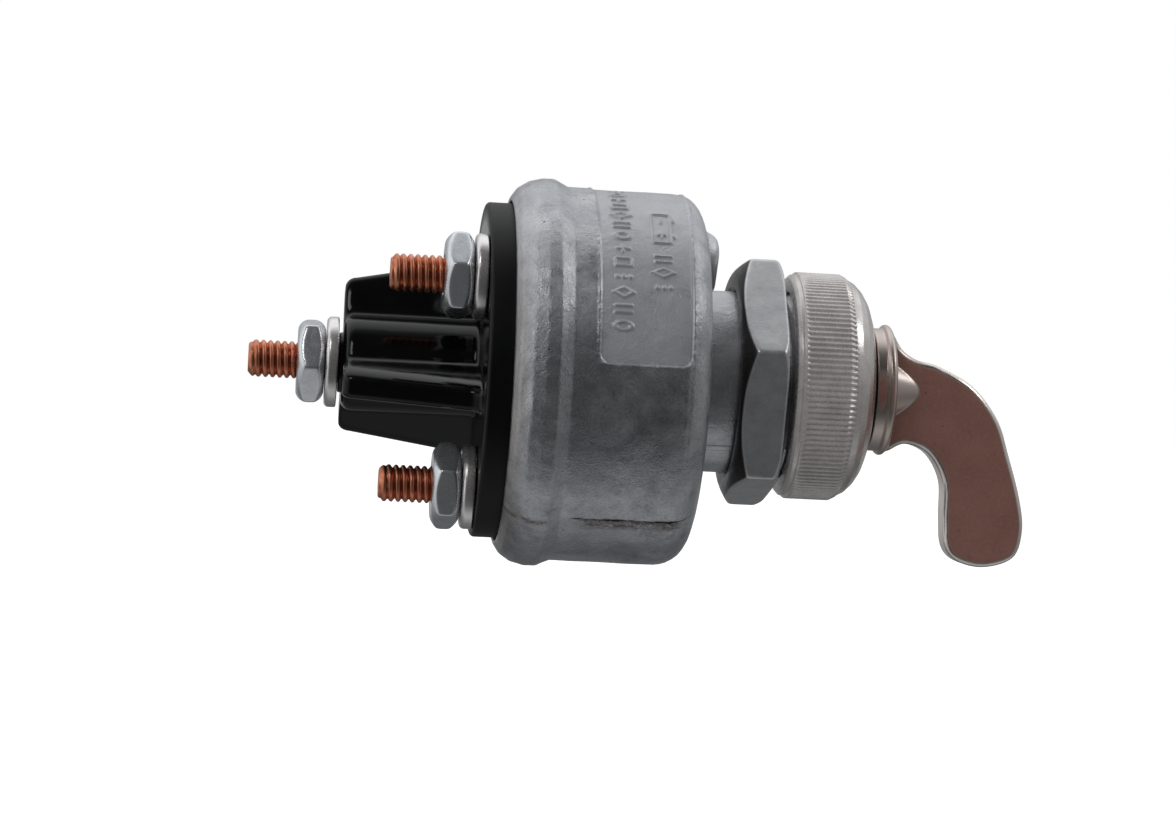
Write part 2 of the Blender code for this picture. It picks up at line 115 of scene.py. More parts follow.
# Brightness of the room round the axis: degrees from the front, upwards positive
ROOM = (
    (-180, 0.44), (-166, 0.28), (-150, 0.11), (-118, 0.15), (-97, 0.32), (-82, 0.46),
    (-66, 0.26), (-50, 0.07), (-20, 0.05), (0, 0.05), (40, 0.055), (72, 0.07),
    (84, 0.22), (96, 0.72), (108, 0.90), (135, 0.92), (152, 0.60), (168, 0.38),
)
stops = walls.color_ramp.elements
for number, (degrees, value) in enumerate(ROOM):
    position = (degrees + 180) / 360
    stop = stops[number] if number < 2 else stops.new(position)
    stop.position = position
    stop.color = (value * 0.97, value * 0.985, value, 1)
sky.links.new(share.outputs["Result"], walls.inputs["Fac"])
ends = sky.nodes.new("ShaderNodeMath")
ends.operation = "ABSOLUTE"
sky.links.new(split.outputs["X"], ends.inputs[0])
end_share = sky.nodes.new("ShaderNodeMapRange")
end_share.interpolation_type = "SMOOTHSTEP"
end_share.inputs["From Min"].default_value = 0.62
end_share.inputs["From Max"].default_value = 0.95
sky.links.new(ends.outputs[0], end_share.inputs["Value"])
# The left end wall has a window in it, the right one is plain
left_to_right = sky.nodes.new("ShaderNodeMapRange")
left_to_right.inputs["From Min"].default_value = -1
left_to_right.inputs["To Min"].default_value = 1.0
left_to_right.inputs["To Max"].default_value = 0.36
sky.links.new(split.outputs["X"], left_to_right.inputs["Value"])
# Both end walls are darker towards the floor
low_to_high = sky.nodes.new("ShaderNodeMapRange")
low_to_high.interpolation_type = "SMOOTHSTEP"
low_to_high.inputs["From Min"].default_value = -0.35
low_to_high.inputs["From Max"].default_value = 0.45
low_to_high.inputs["To Min"].default_value = 0.5
sky.links.new(split.outputs["Z"], low_to_high.inputs["Value"])
end_light = sky.nodes.new("ShaderNodeMath")
end_light.operation = "MULTIPLY"
sky.links.new(left_to_right.outputs["Result"], end_light.inputs[0])
sky.links.new(low_to_high.outputs["Result"], end_light.inputs[1])
room = sky.nodes.new("ShaderNodeMix")
room.data_type = "RGBA"
sky.links.new(end_share.outputs["Result"], room.inputs["Factor"])
sky.links.new(walls.outputs["Color"], room.inputs["A"])
sky.links.new(end_light.outputs[0], room.inputs["B"])
# Seen straight from the camera the room is plain white
path = sky.nodes.new("ShaderNodeLightPath")
seen = sky.nodes.new("ShaderNodeMix")
seen.data_type = "RGBA"
seen.inputs["B"].default_value = (1.0, 1.0, 1.0, 1)
sky.links.new(path.outputs["Is Camera Ray"], seen.inputs["Factor"])
sky.links.new(room.outputs["Result"], seen.inputs["A"])
background = sky.nodes.new("ShaderNodeBackground")
sky.links.new(seen.outputs["Result"], background.inputs["Color"])
output = sky.nodes.new("ShaderNodeOutputWorld")
sky.links.new(background.outputs[0], output.inputs[0])


LAMPS_AIM = Vector((-0.015, 0, 0))


def softbox(name, place, size, watts, in_reflections=True):
    """A square studio lamp aimed at the middle of the switch."""
    data = bpy.data.lights.new(name, "AREA")
    data.shape = "SQUARE"
    data.size = size
    data.energy = watts
    lamp = bpy.data.objects.new(name, data)
    lamp.location = place
    lamp.rotation_euler = (LAMPS_AIM - Vector(place)).to_track_quat("-Z", "Y").to_euler()
    lamp.visible_glossy = in_reflections
    bpy.context.scene.collection.objects.link(lamp)


softbox("ceiling", (-0.15, 0.30, 0.80), 0.60, 0.2)
softbox("left_window", (-0.49, -0.52, 0.59), 0.26, 0.8)
softbox("right_window", (0.70, -0.13, 0.62), 0.26, 0.85)
softbox("front_fill", (-0.25, -0.85, 0.45), 0.60, 2.2, in_reflections=False)


# Can, neck and rear rim: one zinc die casting. The sides keep the skin of the die, with a parting
# line and a sunk pad; the neck is threaded for the panel nuts and the rim is rolled over the base.
def rounded(corners, most=8):
    """A line of (radius, place, fillet) corners with an arc in place of each corner that has a fillet."""
    line = []
    for number, (r, x, fillet) in enumerate(corners):
        here = np.array((r, x), float)
        if not fillet or number in (0, len(corners) - 1):
            line.append(tuple(here))
            continue
        before = np.array(corners[number - 1][:2], float) - here
        after = np.array(corners[number + 1][:2], float) - here
        room_before, room_after = np.linalg.norm(before), np.linalg.norm(after)
        before, after = before / room_before, after / room_after
        half = math.acos(max(-1, min(1, float(before @ after)))) / 2
        if half > math.radians(87):
            line.append(tuple(here))
            continue
        back = min(fillet / math.tan(half), room_before * 0.49, room_after * 0.49)
        radius = back * math.tan(half)
        middle = here + (before + after) / np.linalg.norm(before + after) * radius / math.sin(half)
        start, end = here + before * back - middle, here + after * back - middle
        sweep = math.atan2(start[0] * end[1] - start[1] * end[0], float(start @ end))
        for i in range(most + 1):
            t = sweep * i / most
            spin = np.array(((math.cos(t), -math.sin(t)), (math.sin(t), math.cos(t))))
            line.append(tuple(middle + spin @ start))
    return line


def spaced(line, step, fine=None):
    """The same line with no stretch longer than step. fine is the lowest and highest place of a
    stretch that needs more rows, and their step."""
    filled = [line[0]]
    for start, end in zip(line, line[1:]):
        here = step
        if fine and fine[0] < (start[1] + end[1]) / 2 < fine[1]:
            here = fine[2]
        count = max(1, math.ceil(math.dist(start, end) / here - 0.01))
        for i in range(1, count + 1):
            filled.append(tuple(a + (b - a) * i / count for a, b in zip(start, end)))
    return filled


def turn_mesh(name, line, around, relief=None, ring=False, centre=(0, 0, 0)):
    """A mesh turned about X from a line of (radius, place). around is a count of steps, or the angles
    themselves. relief takes arrays of radius, place and angle, and gives the radius and place back
    changed. A ring's line closes on itself."""
    angles = np.linspace(0, 2 * math.pi, around, endpoint=False) if isinstance(around, int) else around
    around = len(angles)
    r = np.array([p[0] for p in line])[:, None] * np.ones(around)
    x = np.array([p[1] for p in line])[:, None] * np.ones(around)
    angle = angles[None, :] * np.ones((len(line), 1))
    if relief:
        r, x = relief(r, x, angle)
    points = np.stack((x, -r * np.cos(angle), r * np.sin(angle)), -1).reshape(-1, 3) + np.array(centre)
    rows = len(line) if ring else len(line) - 1
    i, j = np.meshgrid(np.arange(rows), np.arange(around), indexing="ij")
    below, beside = (i + 1) % len(line), (j + 1) % around
    faces = np.stack((i * around + j, i * around + beside, below * around + beside, below * around + j), -1)
    faces = faces.reshape(-1, 4).tolist()
    if not ring:
        first, last = len(points), len(points) + 1
        axis_ends = [(line[0][1], 0, 0), (line[-1][1], 0, 0)]
        points = np.concatenate((points, np.array(axis_ends) + np.array(centre)))
        bottom = (len(line) - 1) * around
        for j in range(around):
            beside = (j + 1) % around
            faces.append((j, first, beside))
            faces.append((bottom + beside, last, bottom + j))
    mesh = bpy.data.meshes.new(name)
    mesh.from_pydata((points * MM).tolist(), [], faces)
    shape = bmesh.new()
    shape.from_mesh(mesh)
    bmesh.ops.recalc_face_normals(shape, faces=shape.faces)
    shape.to_mesh(mesh)
    shape.free()
    return mesh


def piece(name, mesh, finish, body, slot, *stands_for, sharp=40):
    """Link a finished piece, hang it on its body and let it stand for its plain solid."""
    mesh.shade_smooth()
    mesh.set_sharp_from_angle(angle=math.radians(sharp))
    mesh.materials.clear()
    mesh.materials.append(finish)
    obj = bpy.data.objects.new(name, mesh)
    bpy.context.scene.collection.objects.link(obj)
    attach(obj, body)
    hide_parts(*stands_for)


def waves(seed, shortest, longest, count=28):
    """Gentle uneven swell of a cast surface: a function of three arrays of millimetres, about -1 to 1."""
    random = np.random.default_rng(seed)
    lengths = np.exp(random.uniform(math.log(shortest), math.log(longest), count))
    ways = random.normal(size=(count, 3))
    ways /= np.linalg.norm(ways, axis=1)[:, None]
    shifts = random.uniform(0, 2 * math.pi, count)

    def swell(x, y, z):
        total = 0
        for length, way, shift in zip(lengths, ways, shifts):
            total = total + np.sin((x * way[0] + y * way[1] + z * way[2]) * 2 * math.pi / length + shift)
        return total / math.sqrt(count * 2)

    return swell


def smooth_step(value, low, high):
    """0 at low, 1 at high and eased between them; low may be the greater one."""
    t = np.clip((value - low) / (high - low), 0, 1)
    return t * t * (3 - 2 * t)


def inside_box(u, v, half_u, half_v, corner):
    """Signed distance to a box with round corners: negative inside it."""
    du, dv = np.abs(u) - half_u + corner, np.abs(v) - half_v + corner
    outside = np.hypot(np.maximum(du, 0), np.maximum(dv, 0))
    return outside + np.minimum(np.maximum(du, dv), 0) - corner


CAN_R = 21.1
NECK_R, BORE_R = 10.3, 3.475
NECK_PITCH, THREAD_DEPTH = 1.27, 0.62
SHOULDER_X, CAVITY_X = -9.3, -12.0
PAD_MIDDLE, PAD_REACH = math.radians(52), math.radians(47.5)
PAD_X, PAD_HALF_WIDTH, PAD_CORNER, PAD_DEPTH = -16.8, 5.0, 1.1, 0.15
MARK_HEIGHT = 0.2
PARTING, NECK_PARTING = math.radians(-47.5), math.radians(-43)
LUG_ANGLE, LUG_R, LUG_HEIGHT = math.radians(61.5), 14.7, 1.3
cast_swell = waves(3, 2.5, 9)
cast_pits = waves(5, 0.5, 1.6)
crumbs = waves(9, 0.3, 0.9)


def apart(angle, other):
    """Angle from one direction to another, between -pi and pi."""
    return (angle - other + math.pi) % (2 * math.pi) - math.pi


# Raised marks on the pad, each about 1.3 by 2.2: signed distances, negative inside the stroke
STROKE = 0.17
# Where each row of marks starts along and across the pad, and the step from mark to mark
REAR_START, REAR_ROW, REAR_PITCH = -13.3, -2.6, 1.95
FRONT_START, FRONT_ROW, FRONT_PITCH = -8.6, 1.75, 1.9


def ring_mark(u, v):
    return np.abs(np.hypot(u, v * 0.55) - 0.47) - STROKE * 0.9


def bars_mark(u, v):
    return inside_box(np.abs(u) - 0.4, v, STROKE, 1.0, 0.1)


def diamond_mark(u, v):
    return np.abs((np.abs(u) + np.abs(v) * 0.55) / 1.14 - 0.5) - STROKE


def frame_mark(u, v):
    return np.abs(inside_box(u, v, 0.5, 0.92, 0.2)) - STROKE * 0.9


def dots_mark(u, v):
    return np.minimum(np.hypot(u, np.abs(v) - 0.72), np.hypot(u, v)) - 0.27


def cross_mark(u, v):
    return np.minimum(inside_box(u, v, 0.62, STROKE, 0.1), inside_box(u, v, STROKE, 0.85, 0.1))


REAR_MARKS = (ring_mark, bars_mark, diamond_mark, dots_mark, frame_mark, cross_mark, ring_mark, bars_mark,
              diamond_mark, frame_mark, cross_mark, ring_mark, dots_mark)


def pad_marks(u, v):
    """Two rows of plain marks: a long one behind, and a battery sign with three marks in front."""
    near = np.full(u.shape, 9.0)
    for number, mark in enumerate(REAR_MARKS):
        near = np.minimum(near, mark(u - REAR_START - REAR_PITCH * number, v - REAR_ROW))
    for number, mark in enumerate((dots_mark, diamond_mark, bars_mark)):
        near = np.minimum(near, mark(u - FRONT_START - FRONT_PITCH * number, v - FRONT_ROW))
    # The battery sign: a case with two posts, a plus and a minus
    along, up = u - 0.2, v - FRONT_ROW
    case = np.abs(inside_box(along, up, 2.6, 1.05, 0.3)) - STROKE * 0.8
    posts = inside_box(np.abs(along) - 1.4, up - 1.3, 0.35, 0.2, 0.1)
    minus = inside_box(along - 1.3, up, 0.5, 0.14, 0.1)
    plus_bar = inside_box(along + 1.3, up, 0.5, 0.14, 0.1)
    plus = np.minimum(plus_bar, inside_box(along + 1.3, up, 0.14, 0.55, 0.1))
    return np.minimum(near, np.minimum(np.minimum(case, posts), np.minimum(minus, plus)))


def cast_relief(r, x, angle):
    """What the dies left on the turned shape: pad, marks, parting lines, swell, thread and lug."""
    y, z = -r * np.cos(angle), r * np.sin(angle)
    outer = smooth_step(r, 17.5, 19.0)
    side = outer * smooth_step(x, -25.4, -24.6)
    small = cast_pits(x, y, z)
    along = apart(angle, PAD_MIDDLE) * CAN_R
    edge = inside_box(along, x - PAD_X, PAD_REACH * CAN_R, PAD_HALF_WIDTH, PAD_CORNER)
    # The pad is sunk, with an uneven lip raised all round it
    lip = (0.07 + 0.05 * small) * np.exp(-((edge - 0.2) / 0.16) ** 2)
    sunk = side * (smooth_step(edge, 0.1, -0.1) * PAD_DEPTH - lip)
    marks = side * smooth_step(pad_marks(along, x - PAD_X), 0.07, -0.09) * MARK_HEIGHT
    # The dies' parting line: a crack with crumbled metal below it on the side, a ridge on the far side
    off = apart(angle, PARTING) * r
    wander = off + 0.12 * np.sin(x * 1.1) + 0.05 * np.sin(x * 4.3 + 1)
    crack = -0.13 * np.exp(-(wander / 0.13) ** 2) * smooth_step(x, -23.6, -22.5)
    rough = smooth_step(wander, 0.0, -0.25) * smooth_step(wander, -1.7, -0.9)
    rough = rough * smooth_step(x, -23.0, -21.0) * smooth_step(x, -10.5, -12.0)
    parting = side * (crack + rough * 0.07 * (crumbs(x, y, z) + 0.3))
    far = apart(angle, PARTING + math.pi) * r
    parting = parting + 0.09 * np.exp(-(far / 0.16) ** 2) * side
    on_neck = (1 - outer) * smooth_step(r, 10.9, 10.5)
    neck_off = apart(angle, NECK_PARTING) * r
    parting = parting - 0.07 * np.exp(-(neck_off / 0.11) ** 2) * on_neck
    # Below the parting line the other half of the die stands a little proud
    step = 0.05 * side * smooth_step(apart(angle, PARTING + math.pi / 2), -1.5, -1.56)
    rim = outer * smooth_step(x, -24.6, -25.8)
    skin = 0.03 * cast_swell(x, y, z) + 0.008 * small
    shown = smooth_step(r, 10.0, 10.25) * smooth_step(x, -30.95, -30.3)
    r = r - sunk + marks + parting + step + skin * shown * (1 + 0.6 * rim) - 0.04 * rim
    # Thread on the front of the neck
    turns = x / NECK_PITCH + angle / (2 * math.pi)
    tooth = np.abs((turns % 1) - 0.5) * 2
    thread = smooth_step(x, -5.2, -4.4) * smooth_step(x, 9.2, 8.5)
    on_neck = smooth_step(r, 9.5, 9.9) * smooth_step(r, 10.9, 10.6)
    r = r - thread * on_neck * THREAD_DEPTH * smooth_step(tooth, 0.05, 0.95)
    # Lug on the front shoulder that keeps the switch from turning in its panel
    across = apart(angle, LUG_ANGLE) * 14
    lug = inside_box(across, r - LUG_R, 1.9, 3.3, 1.7)
    rise = np.clip((0.35 - lug) / 1.3, 0, 1)
    front = smooth_step(x, -12.9, -11.0) * smooth_step(r, 10.6, 11.0)
    x = x + front * LUG_HEIGHT * np.sqrt(1 - (1 - rise) ** 2)
    return r, x


def network(name):
    """A new finish: its node tree and its shader."""
    made = bpy.data.materials.new(name)
    made.use_nodes = True
    return made, made.node_tree, made.node_tree.nodes["Principled BSDF"]


def place_in_mm(tree, stretch=(1, 1, 1)):
    """The point being shaded, in millimetres, squeezed along the axes by stretch."""
    here = tree.nodes.new("ShaderNodeTexCoord")
    scaled = tree.nodes.new("ShaderNodeVectorMath")
    scaled.operation = "MULTIPLY"
    scaled.inputs[1].default_value = tuple(1000 * s for s in stretch)
    tree.links.new(here.outputs["Object"], scaled.inputs[0])
    return scaled.outputs[0]


def cloud(tree, where, size, detail=4.0, rough=0.55):
    """Noise with patches of about size millimetres."""
    made = tree.nodes.new("ShaderNodeTexNoise")
    made.inputs["Scale"].default_value = 1 / size
    made.inputs["Detail"].default_value = detail
    made.inputs["Roughness"].default_value = rough
    tree.links.new(where, made.inputs["Vector"])
    return made.outputs["Fac"]


def spread(tree, value, low, high, to_low, to_high):
    """Stretch a value from one range to another."""
    made = tree.nodes.new("ShaderNodeMapRange")
    made.inputs["From Min"].default_value = low
    made.inputs["From Max"].default_value = high
    made.inputs["To Min"].default_value = to_low
    made.inputs["To Max"].default_value = to_high
    tree.links.new(value, made.inputs["Value"])
    return made.outputs["Result"]


def blend(tree, share, first, second):
    """Mix two colours by a share; either may be a colour or a socket."""
    made = tree.nodes.new("ShaderNodeMix")
    made.data_type = "RGBA"
    tree.links.new(share, made.inputs["Factor"])
    for name, colour in (("A", first), ("B", second)):
        if isinstance(colour, tuple):
            made.inputs[name].default_value = (*colour, 1)
        else:
            tree.links.new(colour, made.inputs[name])
    return made.outputs["Result"]


def bump(tree, shader, height, depth, strength=1.0, under=None):
    """Raise the surface by a height, depth millimetres deep; chains on an earlier bump."""
    made = tree.nodes.new("ShaderNodeBump")
    made.inputs["Distance"].default_value = depth * MM
    made.inputs["Strength"].default_value = strength
    tree.links.new(height, made.inputs["Height"])
    if under:
        tree.links.new(under, made.inputs["Normal"])
    tree.links.new(made.outputs["Normal"], shader.inputs["Normal"])
    return made.outputs["Normal"]


def round_the_axis(tree):
    """The place along the axis in millimetres, and the angle round it in degrees."""
    spot = tree.nodes.new("ShaderNodeSeparateXYZ")
    tree.links.new(place_in_mm(tree), spot.inputs[0])
    forward = tree.nodes.new("ShaderNodeMath")
    forward.operation = "MULTIPLY"
    forward.inputs[1].default_value = -1
    tree.links.new(spot.outputs["Y"], forward.inputs[0])
    radians = tree.nodes.new("ShaderNodeMath")
    radians.operation = "ARCTAN2"
    tree.links.new(spot.outputs["Z"], radians.inputs[0])
    tree.links.new(forward.outputs[0], radians.inputs[1])
    return spot.outputs["X"], spread(tree, radians.outputs[0], -math.pi, math.pi, -180, 180)


def product(tree, *values):
    """Several shares multiplied together."""
    total = values[0]
    for value in values[1:]:
        made = tree.nodes.new("ShaderNodeMath")
        made.operation = "MULTIPLY"
        tree.links.new(total, made.inputs[0])
        tree.links.new(value, made.inputs[1])
        total = made.outputs[0]
    return total


def pits(tree, where, size, share):
    """Small round pits on a grid of about size millimetres, each a share of that across."""
    made = tree.nodes.new("ShaderNodeTexVoronoi")
    made.inputs["Scale"].default_value = 1 / size
    tree.links.new(where, made.inputs["Vector"])
    return spread(tree, made.outputs["Distance"], share * 0.5, share, 1, 0)


def zinc_casting():
    """Die-cast zinc: blue-grey and softly clouded, with a sandy grain, pits, and dirt in the crumbled
    metal below the parting line."""
    made, tree, shader = network("zinc_casting")
    where = place_in_mm(tree)
    x, degrees = round_the_axis(tree)
    broad = spread(tree, cloud(tree, where, 7, 4), 0.34, 0.66, 0, 1)
    stain = spread(tree, cloud(tree, where, 2.6, 8, 0.72), 0.50, 0.70, 0, 1)
    sand = spread(tree, cloud(tree, where, 0.2, 2), 0.3, 0.7, 0, 1)
    base = blend(tree, broad, (0.40, 0.412, 0.442), (0.64, 0.652, 0.68))
    base = blend(tree, stain, base, (0.29, 0.297, 0.32))
    speckle = product(tree, sand, spread(tree, cloud(tree, where, 3.3, 3), 0.4, 0.6, 0.1, 0.5))
    base = blend(tree, speckle, base, (0.80, 0.81, 0.83))
    grime = spread(tree, cloud(tree, where, 0.33, 5, 0.7), 0.50, 0.68, 0, 0.5)
    base = blend(tree, grime, base, (0.31, 0.315, 0.335))
    ragged = spread(tree, cloud(tree, where, 0.5, 6, 0.75), 0.36, 0.56, 0, 1)
    # Dirt in the crumbled metal, black in the crack itself, and rust where the line meets the rim
    band = product(
        tree,
        spread(tree, degrees, -47.4, -47.9, 0, 1),
        spread(tree, degrees, -52.5, -50.0, 0, 1),
        spread(tree, x, -23.2, -21.5, 0, 1),
        spread(tree, x, -10.8, -11.8, 0, 1),
        ragged,
    )
    base = blend(tree, band, base, (0.21, 0.175, 0.165))
    crack = product(
        tree,
        spread(tree, degrees, -47.1, -47.3, 0, 1),
        spread(tree, degrees, -47.85, -47.6, 0, 1),
        spread(tree, x, -23.8, -23.0, 0, 1),
    )
    base = blend(tree, crack, base, (0.05, 0.045, 0.045))
    rust = product(
        tree,
        spread(tree, degrees, -46.0, -47.2, 0, 1),
        spread(tree, degrees, -49.2, -48.2, 0, 1),
        spread(tree, x, -25.5, -26.2, 0, 1),
        spread(tree, cloud(tree, where, 1.3, 5, 0.7), 0.4, 0.6, 0.1, 0.9),
    )
    base = blend(tree, rust, base, (0.20, 0.13, 0.10))
    holes = pits(tree, where, 3.1, 0.05)
    base = blend(tree, holes, base, (0.10, 0.10, 0.105))
    # The pad and the side above it are chalky. The rolled shoulder is darkened, partly dirt and partly
    # painted shade: least at the top and towards the back, most at the front and underneath.
    pad = product(
        tree,
        spread(tree, degrees, 4.2, 5.2, 0, 1),
        spread(tree, x, -21.9, -21.5, 0, 1),
        spread(tree, x, -11.5, -11.9, 0, 1),
    )
    base = blend(tree, spread(tree, pad, 0, 1, 0, 0.75), base, (0.55, 0.56, 0.59))
    # Dirt mixed with painted shade on the rolled shoulder, lighter towards the top
    shoulder_dirt_and_shade = product(
        tree,
        spread(tree, x, -29.0, -30.2, 0, 0.4),
        spread(tree, degrees, 60, 20, 0.2, 1),
        spread(tree, degrees, -175, -130, 0.2, 1),
    )
    base = blend(tree, shoulder_dirt_and_shade, base, (0.26, 0.225, 0.20))
    # Painted light: the neck in front of the can's shoulder is painted lighter than the rest of the casting
    base = blend(tree, spread(tree, x, -9.6, -9.2, 0, 0.45), base, (0.86, 0.87, 0.89))
    tree.links.new(base, shader.inputs["Base Color"])
    chalk = product(tree, spread(tree, degrees, 2, 24, 0, 0.22), spread(tree, degrees, 120, 165, 1, 0))
    chalky = blend(tree, pad, chalk, (0.5, 0.5, 0.5))
    matt = blend(tree, band, chalky, (0.65, 0.65, 0.65))
    tree.links.new(spread(tree, matt, 0, 1, 0.92, 0), shader.inputs["Metallic"])
    sheen = spread(tree, cloud(tree, where, 1.8, 6), 0.3, 0.7, 0.25, 0.48)
    tree.links.new(sheen, shader.inputs["Roughness"])
    first = bump(tree, shader, cloud(tree, where, 1.6, 6, 0.6), 0.075, 0.5)
    second = bump(tree, shader, sand, 0.026, 0.6, first)
    third = bump(tree, shader, ragged, 0.05, 0.25, second)
    bump(tree, shader, spread(tree, holes, 0, 1, 1, 0), 0.05, 0.9, third)
    return made


neck_corners = [(BORE_R, 9.3, 0), (9.7, 9.3, 0.1), (NECK_R, 8.7, 0.2), (NECK_R, SHOULDER_X, 0.8)]
can_corners = [(CAN_R, SHOULDER_X, 3.5), (CAN_R, -22.4, 0), (CAN_R, -24.6, 0.8), (21.9, -26.1, 0.9)]
can_corners += [(21.93, -27.4, 1.6), (21.55, -28.9, 1.6), (20.7, -30.2, 1.3), (19.7, -30.85, 0.7)]
lip_corners = [(19.2, -30.9, 0.2), (19.2, -29.3, 0.1), (20.3, -29.3, 0.1), (20.3, -26.3, 0.1)]
cavity_corners = [(18.6, -26.3, 0.1), (18.6, CAVITY_X, 0.6), (BORE_R, CAVITY_X, 0.1)]
outside = spaced(rounded(neck_corners + can_corners + lip_corners[:2]), 0.25, (-22.5, -11.2, 0.11))
within = rounded(lip_corners[1:] + cavity_corners, 3)[1:] + [(BORE_R, CAVITY_X)]
# Closer steps round the axis where the pad's marks and the parting line are
steps = [(-43, 2, 0.75), (2, 101, 0.3), (101, 306, 0.75), (306, 317, 0.3)]
turns = np.radians(np.concatenate([np.arange(start, end, step) for start, end, step in steps]))
housing_mesh = turn_mesh("housing_cast", outside + within, turns, cast_relief, ring=True)
zinc_cast = zinc_casting()
piece("housing_cast", housing_mesh, zinc_cast, "switch_body", "zinc_casting", "housing", sharp=50)


# Terminal base: one moulding in glossy black phenolic. A flange and shoulder sit in the can, and a
# tower with three ribs keeps the battery terminal's cable lug clear of the others.
RIBS = [math.radians(a) for a in (-15.5, 106.5, -132.5)]
RIB_HALF = 1.93
COLUMN_R = 5.4
TOWER_EDGE = 1.25
# How tight the fillets between the ribs and the ribs' round noses are: the higher, the tighter
FILLET_POWER, NOSE_POWER = 8, 4.2
FLANGE_X = -33.6
TOWER_X = -48.9
BOSS_X, BOSS_R, TIP_R = -49.3, 3.35, 3.4
FOOT_FILLET = 1.0
FACE_R = 18.2
STUD_BORE_R = 2.4
TERMINALS = ("battery", "ignition", "accessory", "start")


def tower_radius(angle, x):
    """Outline of the tower across the axis: a column with three ribs, blended by a small fillet."""
    reach = np.interp(x, (TOWER_X, FLANGE_X), (9.6, 12.8))
    total = np.full(np.shape(angle), COLUMN_R, float) ** FILLET_POWER
    for rib in RIBS:
        off = np.abs(apart(angle, rib))
        flank = RIB_HALF / np.maximum(np.sin(np.minimum(off, math.pi / 2)), 1e-3)
        # Round nose: a soft minimum of the rib's flank and its outer edge
        end = reach / np.cos(np.minimum(off, 1.2))
        nose = (flank ** -NOSE_POWER + end ** -NOSE_POWER) ** (-1 / NOSE_POWER)
        total = total + np.where(off < math.pi / 2, nose, 0) ** FILLET_POWER
    return total ** (1 / FILLET_POWER)


def black_phenolic():
    """Glossy black moulding with faint flow marks, dust and soft scuffs."""
    made, tree, shader = network("black_phenolic")
    where = place_in_mm(tree)
    haze = spread(tree, cloud(tree, where, 3.5, 5, 0.6), 0.35, 0.75, 0, 1)
    black = blend(tree, haze, (0.0015, 0.0015, 0.0017), (0.004, 0.004, 0.0042))
    tree.links.new(black, shader.inputs["Base Color"])
    # The flange lost its gloss where it was gripped and where the can's rim was rolled over it
    level = tree.nodes.new("ShaderNodeVectorMath")
    level.operation = "LENGTH"
    tree.links.new(place_in_mm(tree, (0, 1, 1)), level.inputs[0])
    dull = spread(tree, level.outputs["Value"], 16.5, 18.3, 0, 1)
    gloss = spread(tree, cloud(tree, where, 1.4, 6, 0.65), 0.3, 0.75, 0.07, 0.17)
    worn = blend(tree, dull, gloss, (0.48, 0.48, 0.48))
    tree.links.new(worn, shader.inputs["Roughness"])
    shader.inputs["IOR"].default_value = 1.36
    first = bump(tree, shader, cloud(tree, where, 4.5, 2), 0.12, 0.35)
    bump(tree, shader, cloud(tree, where, 0.25, 3), 0.006, 0.5, first)
    return made


phenolic = black_phenolic()


def base_relief(r, x, angle):
    """Each row of the tower says how far along its tip, edge, side, foot or face it lies, and gets its
    real place here."""
    made_r, made_x = r.copy(), x.copy()
    for row in range(len(r)):
        kind, share = base_rows[row]
        turn_angle = angle[row]
        if kind == "tip":
            outline = tower_radius(turn_angle, TOWER_X) - TOWER_EDGE
            made_r[row] = TIP_R + (outline - TIP_R) * share
            made_x[row] = TOWER_X
        elif kind == "edge":
            bend = share * math.pi / 2
            made_r[row] = tower_radius(turn_angle, TOWER_X + TOWER_EDGE) - TOWER_EDGE * (1 - math.sin(bend))
            made_x[row] = TOWER_X + TOWER_EDGE * (1 - math.cos(bend))
        elif kind == "side":
            place = TOWER_X + TOWER_EDGE + (FLANGE_X - FOOT_FILLET - TOWER_X - TOWER_EDGE) * share
            made_r[row] = tower_radius(turn_angle, place)
            made_x[row] = place
        elif kind == "foot":
            bend = share * math.pi / 2
            made_r[row] = tower_radius(turn_angle, FLANGE_X) + FOOT_FILLET * (1 - math.cos(bend))
            made_x[row] = FLANGE_X - FOOT_FILLET * (1 - math.sin(bend))
        elif kind == "face":
            inner = tower_radius(turn_angle, FLANGE_X) + FOOT_FILLET
            made_r[row] = inner + (FACE_R - inner) * share
            made_x[row] = FLANGE_X
    return made_r, made_x


base_rows = []
base_line = []


def add_rows(kind, line):
    """Add rows of one kind to the base's line, each a share of the way along it and a rough place."""
    for share, point in line:
        base_rows.append((kind, share))
        base_line.append(point)


boss = [(STUD_BORE_R, -25.8, 0), (STUD_BORE_R, BOSS_X, 0), (BOSS_R, BOSS_X, 0.15), (TIP_R, -48.95, 0)]
add_rows("turned", [(0, p) for p in rounded(boss)[1:]])
add_rows("tip", [(i / 5, (5, TOWER_X)) for i in range(6)])
add_rows("edge", [(i / 6, (5, TOWER_X)) for i in range(1, 7)])
add_rows("side", [(i / 26, (5, -40)) for i in range(1, 27)])
add_rows("foot", [(i / 6, (5, -33)) for i in range(1, 7)])
add_rows("face", [(i / 12, (12, FLANGE_X)) for i in range(1, 12)])
flange = [(17.5, FLANGE_X, 0), (18.9, FLANGE_X, 0.45), (18.9, -29.0, 0.1), (20.0, -29.0, 0.15)]
flange += [(20.0, -27.7, 0.15), (18.3, -27.7, 0.1), (18.3, -25.8, 0.3), (STUD_BORE_R, -25.8, 0)]
add_rows("turned", [(0, p) for p in spaced(rounded(flange), 1.5)[1:]])
base_mesh = turn_mesh("terminal_base_moulding", base_line, 480, base_relief, ring=True)
piece(
    "terminal_base_moulding", base_mesh, phenolic,
    "switch_body", "black_phenolic", "terminal_base", sharp=35,
)


# Terminal studs: four bolts of solid copper with rolled threads, moulded into the base by their
# heads. The thread's crests are bright and its roots are stained darker.
STUD_R = 2.085
STUD_PITCH, STUD_THREAD = 0.794, 0.36
HEAD_R, HEAD_THICK = 3.6, 1.2


